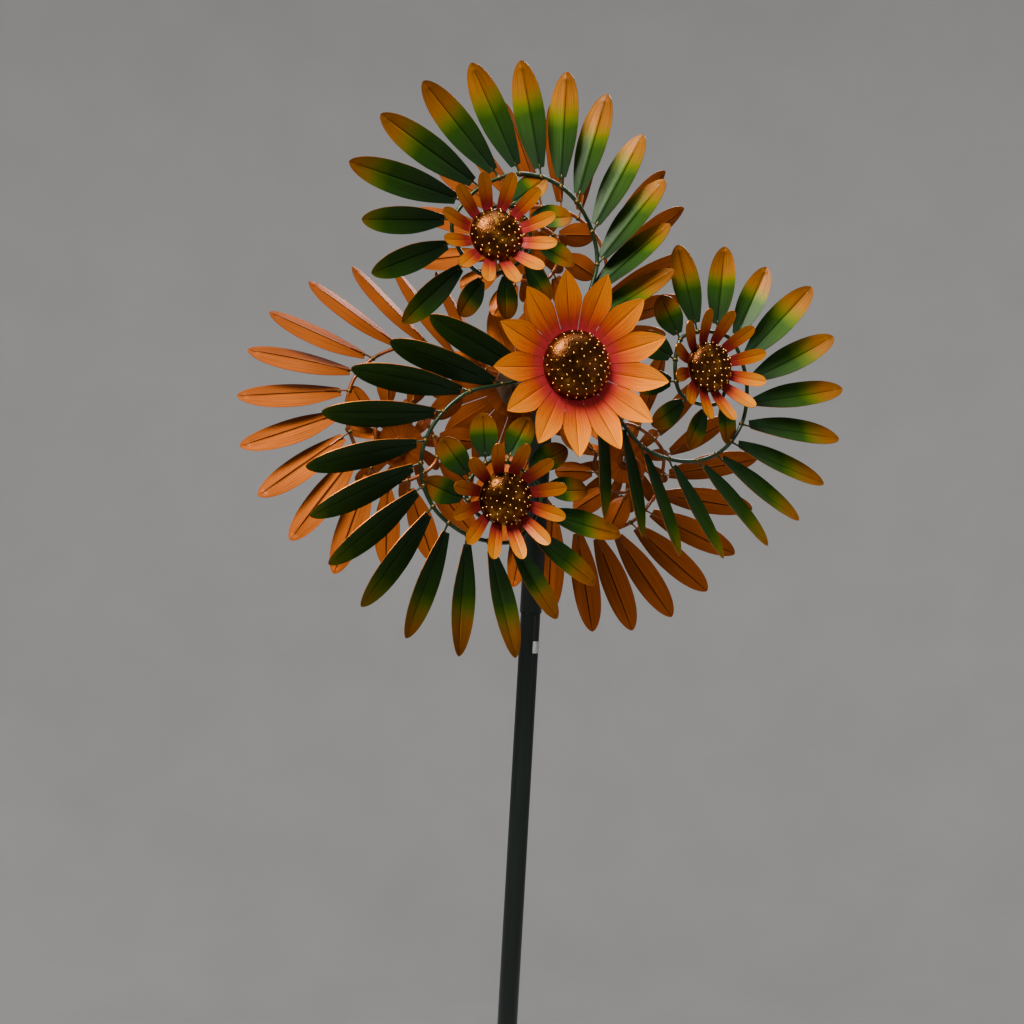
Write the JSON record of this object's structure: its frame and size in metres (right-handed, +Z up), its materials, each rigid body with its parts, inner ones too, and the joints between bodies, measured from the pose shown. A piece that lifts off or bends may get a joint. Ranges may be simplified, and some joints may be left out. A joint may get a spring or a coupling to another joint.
{
  "type": "wind spinner",
  "caption": "Garden wind spinner with two counter-turning rotors of curled leaf stems and sunflowers on a sectional pole with a pronged ground stake.",
  "frame": {"origin": "centre of the step plate's flat underside, at ground level", "axes": "+Z up along the pole, -Y the way the front rotor faces, +X to the right seen from the front"},
  "size_m": [0.5788, 0.2186, 2.1363],
  "materials": {
    "pole_green": "very dark green satin powder coat",
    "zinc": "bright zinc plate",
    "bronze": "plain sintered bronze",
    "leaf_green": "brushed leaf shading from dark green through yellow-green to orange, copper-coloured back",
    "leaf_copper": "brushed copper-orange back, green shading on the outer face",
    "petal_orange": "translucent orange over brushed metal, crimson at the centre",
    "seed_copper": "dark glossy copper-brown with bright studs",
    "hub_brown": "dark bronze paint"
  },
  "bodies": {
    "stand": {"step_plate": "pole_green", "prong_1": "pole_green", "prong_2": "pole_green", "prong_3": "pole_green", "prong_4": "pole_green", "stake_socket": "pole_green", "stake_thumb_screw": "zinc", "pole_lower": "pole_green", "pole_middle": "pole_green", "pole_upper": "pole_green", "joint_clip_lower": "zinc", "joint_clip_middle": "zinc", "joint_clip_upper": "zinc", "head_tee": "pole_green", "axle": "zinc", "axle_screw": "zinc", "front_spacer": "zinc", "front_inner_washer": "zinc", "front_outer_washer": "zinc", "front_axle_nut": "zinc", "rear_spacer": "zinc", "rear_inner_washer": "zinc", "rear_outer_washer": "zinc", "rear_axle_nut": "zinc"},
    "front_rotor": {"front_hub_sleeve": "hub_brown", "front_inner_bush": "bronze", "front_outer_bush": "bronze", "front_hub_disc": "hub_brown", "front_centre_petals": "petal_orange", "front_centre_seed_head": "seed_copper", "front_stem_arm_a": "leaf_green", "front_petals_a": "petal_orange", "front_seed_head_a": "seed_copper", "front_flower_nut_a": "zinc", "front_stem_arm_b": "leaf_green", "front_petals_b": "petal_orange", "front_seed_head_b": "seed_copper", "front_flower_nut_b": "zinc", "front_stem_arm_c": "leaf_green", "front_petals_c": "petal_orange", "front_seed_head_c": "seed_copper", "front_flower_nut_c": "zinc"},
    "rear_rotor": {"rear_hub_sleeve": "hub_brown", "rear_inner_bush": "bronze", "rear_outer_bush": "bronze", "rear_hub_disc": "hub_brown", "rear_centre_petals": "petal_orange", "rear_centre_seed_head": "seed_copper", "rear_stem_arm_a": "leaf_copper", "rear_petals_a": "petal_orange", "rear_seed_head_a": "seed_copper", "rear_flower_nut_a": "zinc", "rear_stem_arm_b": "leaf_copper", "rear_petals_b": "petal_orange", "rear_seed_head_b": "seed_copper", "rear_flower_nut_b": "zinc", "rear_stem_arm_c": "leaf_copper", "rear_petals_c": "petal_orange", "rear_seed_head_c": "seed_copper", "rear_flower_nut_c": "zinc"}
  },
  "joints": [
    {"name": "front_spin", "type": "hinge", "parent": "stand", "child": "front_rotor", "pos_m": [0, -0.075, 1.6443], "axis": [0, -1, 0], "continuous": true},
    {"name": "rear_spin", "type": "hinge", "parent": "stand", "child": "rear_rotor", "pos_m": [0, 0.075, 1.6443], "axis": [0, 1, 0], "continuous": true}
  ]
}
